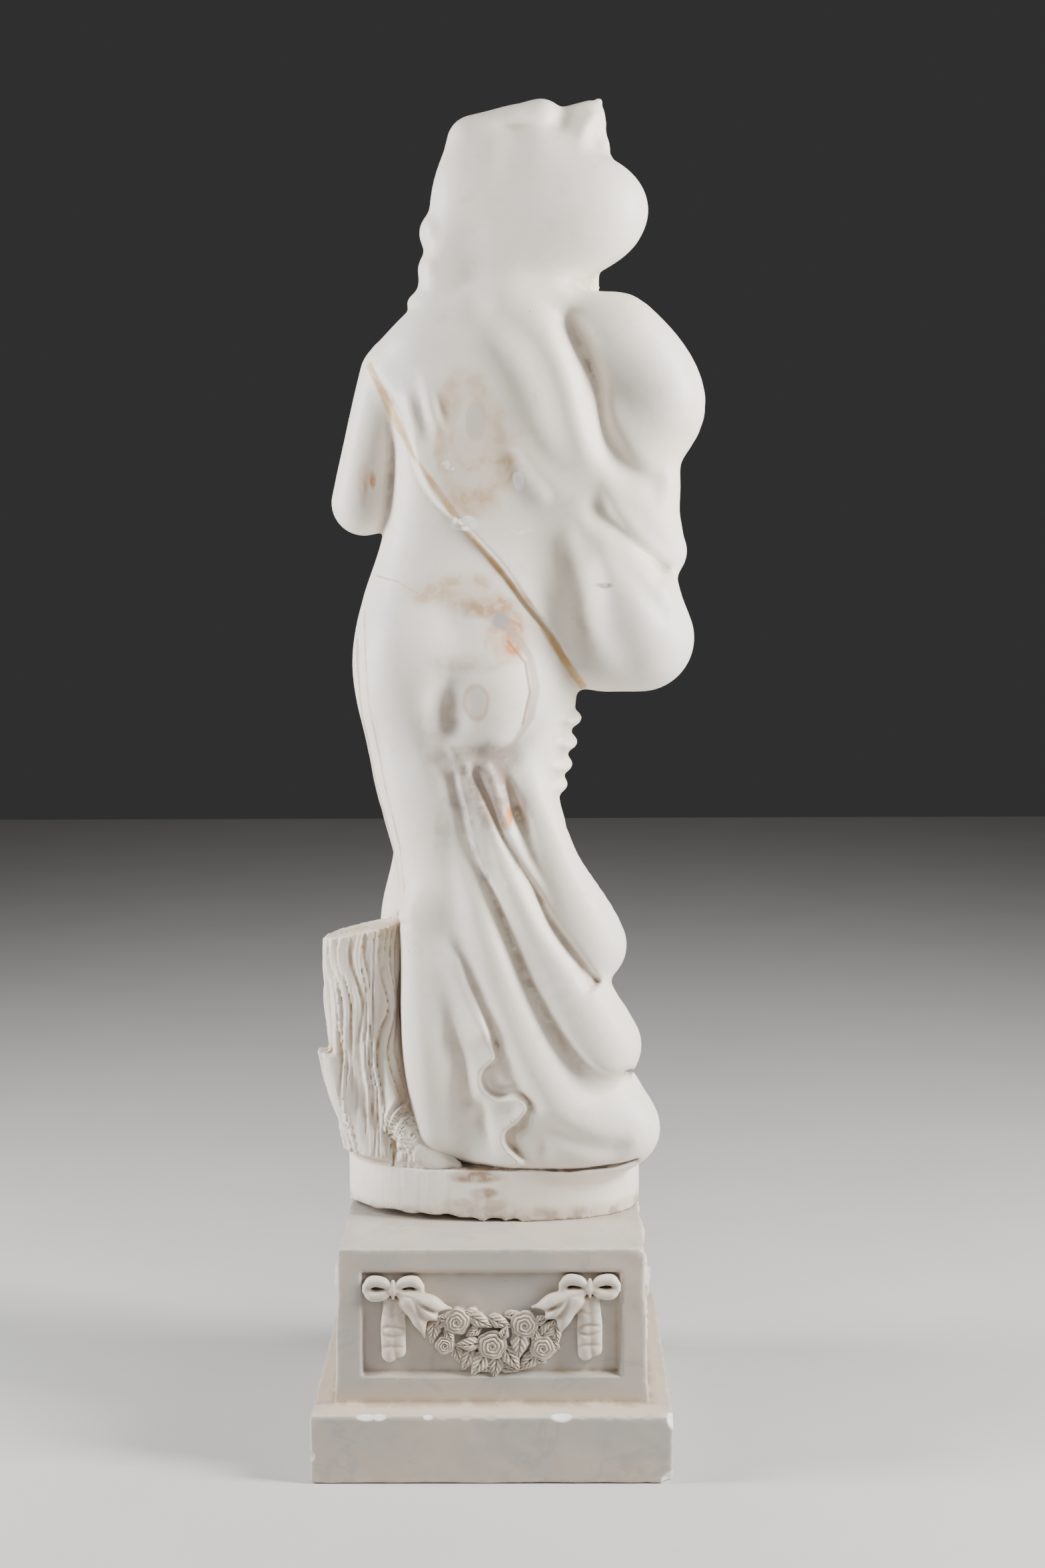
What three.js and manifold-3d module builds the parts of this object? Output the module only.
// Marble statue: a veiled, draped woman beside a tree stump, on an oval base, standing on a square
// pedestal whose four panels carry ribbon-tied flower garlands. Millimetres, +Z up. The origin is the
// centre of the pedestal's underside. The woman faces +Y, so -Y is her back and -X her left side.
import * as THREE from 'three';
import { mergeVertices } from 'three/addons/utils/BufferGeometryUtils.js';
import Module from 'manifold-3d';

const wasm = await Module();
wasm.setup();

// ---- driving sizes, mm
const SLAB_SIDE = 500;
const SLAB_HEIGHT = 96;
const WASH_HEIGHT = 7;
const DIE_FOOT = 434;
const DIE_HEAD = 422;
const PEDESTAL_HEIGHT = 320;
const PANEL_WIDTH = 356;
const PANEL_LOW = 142;
const PANEL_HIGH = 286;
const PANEL_DEPTH = 9;
const JOINT_GAP = 0.3;
const BASE_LENGTH = 428;
const BASE_DEPTH = 250;
const BASE_CENTRE_Y = 34;
const BASE_TOP = 396;
const BASE_SQUARENESS = 2.6;
const CELL = [23, 23, 38];

// ---- small tools
const v3 = (x, y, z) => new THREE.Vector3(x, y, z);
const mix = (a, b, t) => a + (b - a) * t;
const clamp = (t) => Math.min(1, Math.max(0, t));
const ease = (t) => clamp(t) * clamp(t) * (3 - 2 * clamp(t));

// Rounds the inner corner where two masses meet over a width k.
function softMin(a, b, k) {
  const h = Math.max(k - Math.abs(a - b), 0) / k;
  return Math.min(a, b) - (h * h * k) / 4;
}

// Turns a closed three.js geometry into a manifold solid.
function solid(geometry) {
  const plain = geometry.index ? geometry.toNonIndexed() : geometry;
  const bare = new THREE.BufferGeometry();
  bare.setAttribute('position', plain.getAttribute('position'));
  const merged = mergeVertices(bare, 1e-3);
  return new wasm.Manifold(new wasm.Mesh({
    numProp: 3,
    vertProperties: new Float32Array(merged.attributes.position.array),
    triVerts: new Uint32Array(merged.index.array),
  }));
}

// Turns a manifold solid back into a named three.js mesh.
function meshOf(shape, name, colour, roughness) {
  const out = shape.getMesh();
  const geometry = new THREE.BufferGeometry();
  geometry.setAttribute('position', new THREE.BufferAttribute(new Float32Array(out.vertProperties), 3));
  geometry.setIndex(new THREE.BufferAttribute(new Uint32Array(out.triVerts), 1));
  geometry.computeVertexNormals();
  const material = new THREE.MeshStandardMaterial({ color: colour, roughness, metalness: 0 });
  const mesh = new THREE.Mesh(geometry, material);
  mesh.name = name;
  return mesh;
}

// ---- the carved figure: masses of marble, each a signed distance in mm, negative inside

// A roll of cloth or a limb: a round bar along a smooth line through the points, its radius passing
// from one stated value to the next. `flat` under 1 thins it front to back.
function roll(points, radii, flat = 1) {
  const steps = 4 * (points.length - 1);
  const path = points.map(([x, y, z]) => v3(x, y / flat, z));
  const line = path.length > 2 ? new THREE.CatmullRomCurve3(path) : new THREE.LineCurve3(...path);
  const spine = [];
  for (let i = 0; i <= steps; i += 1) {
    const t = i / steps;
    const s = t * (radii.length - 1);
    const n = Math.min(Math.floor(s), radii.length - 2);
    spine.push({ at: line.getPoint(t), r: mix(radii[n], radii[n + 1], ease(s - n)) });
  }
  return (x, y, z) => {
    const p = v3(x, y / flat, z);
    let best = Infinity;
    for (let i = 0; i < steps; i += 1) {
      const a = spine[i];
      const b = spine[i + 1];
      const ab = b.at.clone().sub(a.at);
      const t = clamp(p.clone().sub(a.at).dot(ab) / ab.lengthSq());
      const d = p.distanceTo(a.at.clone().addScaledVector(ab, t)) - mix(a.r, b.r, t);
      best = Math.min(best, d);
    }
    return best * Math.min(1, flat * 1.2);
  };
}

// A rounded lump with three half-sizes.
function lump(cx, cy, cz, rx, ry, rz) {
  const least = Math.min(rx, ry, rz);
  return (x, y, z) => (Math.hypot((x - cx) / rx, (y - cy) / ry, (z - cz) / rz) - 1) * least;
}

// A column through stations [z, left, right, back, front], each section a squared-off oval.
function column(stations, squareness) {
  const knots = stations.map((s) => s[0]);
  const low = knots[0];
  const high = knots[knots.length - 1];
  const curve = (k) => new THREE.SplineCurve(stations.map((s) => new THREE.Vector2(s[0], s[k])));
  const curves = [1, 2, 3, 4].map(curve);
  return (x, y, z) => {
    const zz = Math.min(Math.max(z, low), high);
    let n = 0;
    while (n < knots.length - 2 && zz > knots[n + 1]) n += 1;
    const t = (n + (zz - knots[n]) / (knots[n + 1] - knots[n])) / (knots.length - 1);
    const [left, right, back, front] = curves.map((c) => c.getPoint(t).y);
    const hx = (right - left) / 2;
    const hy = (front - back) / 2;
    const ox = Math.abs(x - (left + right) / 2) / hx;
    const oy = Math.abs(y - (back + front) / 2) / hy;
    const d = ((ox ** squareness + oy ** squareness) ** (1 / squareness) - 1) * Math.min(hx, hy);
    return Math.max(d, z - high, low - z);
  };
}

// The body in its clinging gown, from the hem to the neck.
const gown = column([
  [370, -100, 200, -82, 138],
  [440, -114, 205, -94, 134],
  [560, -130, 150, -102, 128],
  [700, -134, 100, -102, 122],
  [830, -140, 78, -100, 116],
  [960, -172, 86, -114, 104],
  [1060, -190, 112, -120, 100],
  [1130, -196, 122, -116, 98],
  [1200, -183, 118, -100, 92],
  [1290, -154, 108, -84, 84],
  [1400, -140, 118, -92, 94],
  [1490, -146, 128, -98, 88],
  [1560, -122, 112, -88, 62],
  [1610, -78, 80, -60, 44],
  [1670, -50, 62, -48, 40],
], 2.3);

// Where the cloak's free hem crosses the back, as x at height z; the cloak lies to its right.
const HEM = [[1084, 130], [1156, 89], [1243, 24], [1307, -35], [1371, -94], [1457, -116], [1531, -166]];

function hemAt(z) {
  let n = 0;
  while (n < HEM.length - 2 && z > HEM[n + 1][0]) n += 1;
  const [[z0, x0], [z1, x1]] = [HEM[n], HEM[n + 1]];
  return mix(x0, x1, (z - z0) / (z1 - z0));
}

// The cloak's panel over the back: the gown's own surface, a cloth thickness further out.
const CLOTH = 8;
function backPanel(x, y, z) {
  const across = ease((x - hemAt(z)) / 14);
  const up = ease((z - 1080) / 30) * (1 - ease((z - 1560) / 60));
  const behind = 1 - ease((y + 20) / 40);
  return gown(x, y, z) - CLOTH * across * up * behind;
}

// The stump beside her left leg, wider where its roots spread.
const stump = column([
  [370, -216, -84, -72, 26],
  [430, -219, -108, -72, 16],
  [560, -234, -126, -78, 10],
  [650, -240, -130, -82, 8],
  [752, -240, -134, -82, 8],
], 2.1);

// The stump's sawn top slopes down to the left, and its side branch is sawn level.
const sawnStump = (x, y, z) => Math.max(stump(x, y, z), z - (746 + 0.22 * (x + 145)));
const branchBar = roll([[-172, -42, 430], [-212, -42, 490], [-244, -42, 575]], [36, 30, 28]);
const branch = (x, y, z) => Math.max(branchBar(x, y, z), z - (556 - 0.2 * (x + 250)));

// [mass, blending width]; a negative width carves the mass away instead.
const MASSES = [
  [backPanel, 8],
  // seat and thighs under the gown
  [lump(-106, -62, 1104, 72, 62, 96), 30],
  [lump(2, -60, 1078, 66, 66, 84), 26],
  // the cloth between the skirt's folds
  [lump(50, -52, 660, 100, 56, 220), 40],
  [lump(116, -40, 470, 106, 56, 90), 40],
  // folds that sweep from under the seat to the right, ending in three rounded ends
  [roll([[52, -52, 950], [80, -44, 880], [62, -20, 800]], [18, 24, 22]), 18],
  [roll([[40, -78, 985], [84, -80, 850], [136, -58, 716]], [16, 34, 60]), 18],
  [roll([[-20, -86, 985], [48, -92, 780], [154, -66, 572]], [16, 34, 63]), 18],
  [roll([[-46, -84, 970], [6, -92, 700], [90, -80, 500], [186, -52, 448]], [16, 30, 48, 53]), 20],
  [lump(130, -60, 440, 86, 44, 50), 30],
  // the far leg's drapery, showing past the near leg, and the skirt's edge beside the stump
  [roll([[-112, 50, 850], [-136, 40, 745], [-138, 26, 610]], [24, 28, 26]), 24],
  [roll([[-98, -58, 760], [-90, -62, 600], [-82, -54, 450]], [34, 42, 38]), 30],
  // shoulders and the cloak gathered over them
  [roll([[-128, -14, 1530], [-58, -36, 1584], [60, -46, 1604], [120, -40, 1580]], [40, 44, 46, 44]), 40],
  // cloak folds from the right shoulder, top to bottom
  [lump(142, -44, 1440, 100, 58, 190), 44],
  [lump(176, -34, 1290, 76, 54, 140), 44],
  [roll([[30, -70, 1604], [92, -84, 1536], [126, -84, 1450], [146, -70, 1385]], [30, 34, 32, 26]), 34],
  [roll([[112, -44, 1584], [182, -54, 1558], [236, -44, 1480], [208, -26, 1388]], [40, 64, 69, 42]), 18],
  [roll([[150, -50, 1380], [212, -40, 1324], [238, -30, 1272]], [26, 44, 39]), 18],
  [roll([[152, -52, 1350], [168, -56, 1284], [196, -54, 1195], [214, -44, 1151]], [20, 48, 74, 77]), 20],
  [roll([[128, -34, 1300], [140, -38, 1200], [156, -40, 1112]], [38, 42, 30]), 34],
  // their hollow inner side
  [lump(206, 44, 1480, 58, 74, 84), -16],
  [lump(200, 40, 1180, 52, 72, 66), -16],
  // veil: rolled left edge, the head beneath, ballooning right side, raised tip
  [roll([[-2, -14, 1846], [-36, -22, 1750], [-60, -24, 1650], [-66, -20, 1612]], [34, 34, 36, 36]), 22],
  [lump(40, -14, 1752, 100, 74, 118), 44],
  [lump(118, -26, 1742, 106, 68, 82), 36],
  [lump(-80, -10, 1664, 24, 42, 60), 12],
  [roll([[-16, -8, 1840], [28, -6, 1856], [76, -6, 1872]], [24, 26, 22]), 30],
  [roll([[70, -6, 1868], [108, -2, 1868], [140, 4, 1880]], [22, 20, 16]), 16],
  [roll([[104, -8, 1806], [136, 2, 1866], [156, 10, 1914]], [40, 28, 14]), 26],
  [lump(108, -8, 1640, 50, 40, 48), 14],
  // the veil's hollow, the head in it and the neck
  [lump(12, 92, 1752, 62, 50, 84), -14],
  [lump(12, 38, 1758, 56, 66, 84), 12],
  [roll([[12, 24, 1700], [8, 10, 1600]], [38, 48]), 20],
  // left arm, held across the waist under the cloak
  [roll([[-140, -4, 1520], [-164, -6, 1430], [-182, -2, 1342]], [42, 40, 46]), 10],
  [roll([[-178, 4, 1340], [-130, 90, 1346], [-60, 126, 1368]], [40, 31, 22]), 12],
  [lump(-116, 96, 1300, 40, 34, 70), 16],
  // right arm, raised to the veil's tip
  [roll([[92, 14, 1548], [116, 90, 1552], [124, 130, 1584]], [44, 40, 32]), 16],
  [roll([[124, 132, 1586], [130, 112, 1696], [138, 64, 1812]], [31, 27, 22]), 12],
  // bust, overfold, bent knee and the front folds of the skirt
  [lump(-50, 72, 1462, 46, 42, 46), 20],
  [lump(58, 72, 1466, 46, 42, 46), 20],
  [roll([[-140, 30, 1134], [-70, 86, 1100], [30, 100, 1092], [106, 50, 1120]], [24, 28, 28, 24]), 18],
  [roll([[30, 60, 1080], [44, 104, 900], [50, 122, 790]], [60, 50, 44]), 30],
  [roll([[50, 122, 790], [66, 110, 600], [84, 112, 430]], [42, 34, 34]), 24],
  [roll([[-40, 106, 1064], [-36, 120, 760], [-30, 128, 402]], [20, 24, 30]), 16],
  [roll([[-100, 76, 1060], [-92, 108, 760], [-84, 118, 402]], [18, 22, 26]), 16],
  [roll([[70, 62, 900], [100, 76, 680], [156, 62, 402]], [12, 20, 32]), 16],
  // toes of both feet, past the hem
  [roll([[-58, 118, 410], [-64, 150, 404]], [24, 18]), 8],
  [roll([[80, 118, 410], [90, 148, 404]], [24, 18]), 8],
  // stump and branch
  [sawnStump, 8],
  [branch, 12],
];

function carving(x, y, z) {
  let d = gown(x, y, z);
  for (const [mass, width] of MASSES) {
    const m = mass(x, y, z);
    d = width > 0 ? softMin(d, m, width) : -softMin(-d, m, -width);
  }
  return d;
}

// Facets the carving: one vertex in each cell of a box grid that the surface passes through. The cells
// are taller than they are wide, because most folds run up and down.
function facet(field, low, high, cell) {
  const size = [0, 1, 2].map((k) => Math.ceil((high[k] - low[k]) / cell[k]) + 1);
  const [nx, ny, nz] = size;
  const at = (i, j, k) => i + nx * (j + ny * k);
  const value = new Float32Array(nx * ny * nz);
  for (let k = 0; k < nz; k += 1) {
    for (let j = 0; j < ny; j += 1) {
      for (let i = 0; i < nx; i += 1) {
        const d = field(low[0] + i * cell[0], low[1] + j * cell[1], low[2] + k * cell[2]);
        const rim = i === 0 || j === 0 || k === 0 || i === nx - 1 || j === ny - 1 || k === nz - 1;
        value[at(i, j, k)] = rim ? Math.max(d, cell[0] / 2) : d;
      }
    }
  }
  const corner = [];
  for (let c = 0; c < 8; c += 1) corner.push([c & 1, (c >> 1) & 1, (c >> 2) & 1]);
  const edges = [];
  for (let a = 0; a < 8; a += 1) {
    for (const bit of [1, 2, 4]) if (!(a & bit)) edges.push([a, a | bit]);
  }
  // A cell would pinch where its inner or outer corners fall into two groups, or where a face has
  // them crossed corner to corner. Such a corner is filled in.
  const groups = (mask) => {
    let seen = 0;
    let count = 0;
    for (let s = 0; s < 8; s += 1) {
      if (!(mask & (1 << s)) || seen & (1 << s)) continue;
      count += 1;
      const queue = [s];
      seen |= 1 << s;
      while (queue.length) {
        const c = queue.pop();
        for (const bit of [1, 2, 4]) {
          const n = c ^ bit;
          if (!(mask & (1 << n)) || seen & (1 << n)) continue;
          seen |= 1 << n;
          queue.push(n);
        }
      }
    }
    return count;
  };
  const crossed = (mask) => [[1, 2], [1, 4], [2, 4]].some(([p, q]) => {
    const rest = 7 - p - q;
    return [0, rest].some((base) => {
      const [a, b, c, d] = [base, base | p, base | q, base | p | q].map((n) => (mask >> n) & 1);
      return a === d && b === c && a !== b;
    });
  });
  const pinched = (mask) => groups(mask) > 1 || groups(255 - mask) > 1 || crossed(mask);
  const maskOf = (i, j, k) => {
    let mask = 0;
    corner.forEach(([a, b, c], n) => {
      if (value[at(i + a, j + b, k + c)] < 0) mask |= 1 << n;
    });
    return mask;
  };
  for (let pass = 0, changed = true; changed && pass < 40; pass += 1) {
    changed = false;
    for (let k = 0; k < nz - 1; k += 1) {
      for (let j = 0; j < ny - 1; j += 1) {
        for (let i = 0; i < nx - 1; i += 1) {
          const mask = maskOf(i, j, k);
          if (!pinched(mask)) continue;
          let pick = -1;
          let least = Infinity;
          corner.forEach(([a, b, c], n) => {
            const d = value[at(i + a, j + b, k + c)];
            if (d >= 0 && d < least) [least, pick] = [d, n];
          });
          const [a, b, c] = corner[pick];
          value[at(i + a, j + b, k + c)] = -0.15 * cell[0];
          changed = true;
        }
      }
    }
  }
  const vertexOf = new Int32Array(nx * ny * nz).fill(-1);
  const positions = [];
  for (let k = 0; k < nz - 1; k += 1) {
    for (let j = 0; j < ny - 1; j += 1) {
      for (let i = 0; i < nx - 1; i += 1) {
        const sum = [0, 0, 0];
        let hits = 0;
        for (const [a, b] of edges) {
          const [ca, cb] = [corner[a], corner[b]];
          const va = value[at(i + ca[0], j + ca[1], k + ca[2])];
          const vb = value[at(i + cb[0], j + cb[1], k + cb[2])];
          if (va < 0 === vb < 0) continue;
          const t = va / (va - vb);
          for (let q = 0; q < 3; q += 1) sum[q] += mix(ca[q], cb[q], t);
          hits += 1;
        }
        if (!hits) continue;
        vertexOf[at(i, j, k)] = positions.length / 3;
        positions.push(low[0] + (i + sum[0] / hits) * cell[0]);
        positions.push(low[1] + (j + sum[1] / hits) * cell[1]);
        positions.push(low[2] + (k + sum[2] / hits) * cell[2]);
      }
    }
  }
  const index = [];
  const point = (n) => v3(positions[3 * n], positions[3 * n + 1], positions[3 * n + 2]);
  const quad = (a, b, c, d) => {
    const shortFirst = point(a).distanceTo(point(c)) <= point(b).distanceTo(point(d));
    if (shortFirst) index.push(a, b, c, a, c, d);
    else index.push(b, c, d, b, d, a);
  };
  for (let k = 0; k < nz - 1; k += 1) {
    for (let j = 0; j < ny - 1; j += 1) {
      for (let i = 0; i < nx - 1; i += 1) {
        const here = value[at(i, j, k)] < 0;
        const around = [
          [value[at(i + 1, j, k)] < 0, [0, -1, -1], [0, 0, -1], [0, 0, 0], [0, -1, 0]],
          [value[at(i, j + 1, k)] < 0, [-1, 0, -1], [-1, 0, 0], [0, 0, 0], [0, 0, -1]],
          [value[at(i, j, k + 1)] < 0, [-1, -1, 0], [0, -1, 0], [0, 0, 0], [-1, 0, 0]],
        ];
        for (const [next, ...cells] of around) {
          if (next === here) continue;
          const ids = cells.map(([a, b, c]) => vertexOf[at(i + a, j + b, k + c)]);
          if (here) quad(...ids);
          else quad(...ids.reverse());
        }
      }
    }
  }
  const geometry = new THREE.BufferGeometry();
  geometry.setAttribute('position', new THREE.BufferAttribute(new Float32Array(positions), 3));
  geometry.setIndex(index);
  return geometry;
}

const carved = solid(facet(carving, [-300, -176, 372], [340, 212, 1925], CELL));

// The oval base, a block with straight sides, its underside bedded on the pedestal.
const ovalPoints = [];
for (let i = 0; i < 44; i += 1) {
  const a = (i / 44) * 2 * Math.PI;
  const c = Math.cos(a);
  const s = Math.sin(a);
  const x = Math.sign(c) * Math.abs(c) ** (2 / BASE_SQUARENESS) * BASE_LENGTH / 2;
  const y = Math.sign(s) * Math.abs(s) ** (2 / BASE_SQUARENESS) * BASE_DEPTH / 2;
  ovalPoints.push(new THREE.Vector2(x, y + BASE_CENTRE_Y));
}
const ovalBlock = new THREE.ExtrudeGeometry(new THREE.Shape(ovalPoints), {
  depth: BASE_TOP - PEDESTAL_HEIGHT - JOINT_GAP,
  bevelEnabled: false,
});
ovalBlock.translate(0, 0, PEDESTAL_HEIGHT + JOINT_GAP);
// The block's underside was never dressed level: a wedge is missing below its near left part.
const WEDGE_RISE = 20;
const wedgeCorners = [v3(-232, -112, 0), v3(90, -112, 0), v3(-232, 70, 0), v3(-232, -112, WEDGE_RISE)];
const wedge = new THREE.BufferGeometry().setFromPoints(
  [0, 1, 3, 1, 2, 3, 2, 0, 3, 0, 2, 1].map((n) => wedgeCorners[n]),
);
wedge.translate(0, 0, PEDESTAL_HEIGHT + JOINT_GAP - 0.01);
const bedded = solid(ovalBlock).subtract(solid(wedge));
const figureSolid = wasm.Manifold.union([carved, bedded]);

// ---- the pedestal: a square slab, a sloping wash, and a slightly tapered die

// A closed tower of squares, given as [half side, height] from the underside up.
function tower(steps) {
  const positions = [];
  for (const [h, z] of steps) positions.push(-h, -h, z, h, -h, z, h, h, z, -h, h, z);
  const index = [0, 2, 1, 0, 3, 2];
  for (let n = 0; n < steps.length - 1; n += 1) {
    for (let k = 0; k < 4; k += 1) {
      const a = 4 * n + k;
      const b = 4 * n + ((k + 1) % 4);
      index.push(a, b, b + 4, a, b + 4, a + 4);
    }
  }
  const top = 4 * (steps.length - 1);
  index.push(top, top + 1, top + 2, top, top + 2, top + 3);
  const geometry = new THREE.BufferGeometry();
  geometry.setAttribute('position', new THREE.BufferAttribute(new Float32Array(positions), 3));
  geometry.setIndex(index);
  return geometry;
}

const block = solid(tower([
  [SLAB_SIDE / 2, 0],
  [SLAB_SIDE / 2, SLAB_HEIGHT - 3],
  [SLAB_SIDE / 2 - 3, SLAB_HEIGHT],
  [DIE_FOOT / 2 + 4, SLAB_HEIGHT + WASH_HEIGHT],
  [DIE_FOOT / 2, SLAB_HEIGHT + WASH_HEIGHT + 7],
  [DIE_HEAD / 2, PEDESTAL_HEIGHT],
]));

// One panel's carving is laid out on the face towards -Y: u across, w up, `out` from the panel's floor.
const FLOOR = (DIE_FOOT + DIE_HEAD) / 4 - PANEL_DEPTH;
const place = (geometry, u, w, out) => geometry.translate(u, -FLOOR - out, w);

// A dome of stone on the panel's floor.
function dome(u, w, halfWidth, halfHeight, out, tilt = 0, sides = 6) {
  const g = new THREE.SphereGeometry(1, sides, 4);
  g.scale(halfWidth, out, halfHeight);
  g.rotateY(tilt);
  return place(g, u, w, 0);
}

// A tapered bar between two points of the panel.
function bar(from, to, r0, r1, out) {
  const [du, dw] = [to[0] - from[0], to[1] - from[1]];
  const g = new THREE.CylinderGeometry(r1, r0, Math.hypot(du, dw), 6);
  g.scale(1, 1, out / Math.max(r0, r1));
  g.rotateX(Math.PI / 2);
  g.rotateY(Math.PI);
  g.rotateY(-Math.atan2(dw, du) + Math.PI / 2);
  return place(g, (from[0] + to[0]) / 2, (from[1] + to[1]) / 2, 0);
}

// A pointed leaf, standing off the floor along its midrib.
function leaf(u, w, length, turn) {
  const g = new THREE.OctahedronGeometry(1, 0);
  g.scale(length * 0.32, 13, length / 2);
  g.rotateY(turn);
  return place(g, u, w, 0);
}

// A rose: an open cup of petals rising to its heart.
const rose = (u, w, r) => dome(u, w, r * 1.05, r * 1.05, 22);

// A bow of two loops and a knot, with its ribbon's end hanging in soft waves.
function bow(u, w, side) {
  const loops = [-1, 1].map((k) => dome(u + k * 21, w, 21, 16, 17, -k * 0.15));
  const wave = new THREE.Shape([
    [-14, 4], [-13, -34], [-17, -60], [-12, -91], [13, -86], [16, -56], [12, 4],
  ].map(([a, b]) => new THREE.Vector2(a, b)));
  const tail = new THREE.ExtrudeGeometry(wave, { depth: 16, bevelEnabled: false });
  tail.rotateX(Math.PI / 2);
  return [...loops, dome(u, w, 7, 12, 21, 0, 5), place(tail, u + side, w - 12, 4)];
}

const BOWS = [[-135, 265], [138, 267]];
const ROSES = [[-48, 218, 20], [-65, 184, 14], [-1, 184, 21], [46, 213, 20], [72, 181, 17]];
const LEAVES = [
  [-14, 222, 44, 1.2], [18, 219, 44, -1.2], [-32, 190, 40, 0.6], [32, 186, 38, -0.5],
  [-30, 162, 42, 0.9], [30, 161, 42, -0.8], [2, 158, 36, 0.1],
];

function garland() {
  const closed = [
    bar([-118, 254], [-82, 210], 12, 21, 17),
    bar([122, 256], [88, 210], 12, 21, 17),
    ...BOWS.flatMap(([u, w], n) => bow(u, w, n ? 3 : 0)),
    ...ROSES.map(([u, w, r]) => rose(u, w, r)),
    ...LEAVES.map(([u, w, length, turn]) => leaf(u, w, length, turn)),
    dome(0, 190, 72, 24, 11, 0, 8),
  ];
  return wasm.Manifold.union(closed.map(solid));
}

const facing = (shape, quarter) => shape.rotate([0, 0, 90 * quarter]);
const recess = new THREE.BoxGeometry(PANEL_WIDTH, 60, PANEL_HIGH - PANEL_LOW);
place(recess, 0, (PANEL_HIGH + PANEL_LOW) / 2, 30);
const recessSolid = solid(recess);
const garlandSolid = garland();
let pedestalSolid = block;
for (let quarter = 0; quarter < 4; quarter += 1) {
  pedestalSolid = pedestalSolid.subtract(facing(recessSolid, quarter));
}
// Only what stands on a panel's floor is kept of a garland.
const inPanel = facing(recessSolid, 0);
const relief = garlandSolid.intersect(inPanel.translate([0, 6, 0]));
for (let quarter = 0; quarter < 4; quarter += 1) {
  pedestalSolid = pedestalSolid.add(facing(relief, quarter));
}

const statue = new THREE.Group();
statue.add(meshOf(pedestalSolid, 'pedestal', 0xcfc8bd, 0.5));
statue.add(meshOf(figureSolid, 'figure', 0xe9e4da, 0.42));
export default statue;
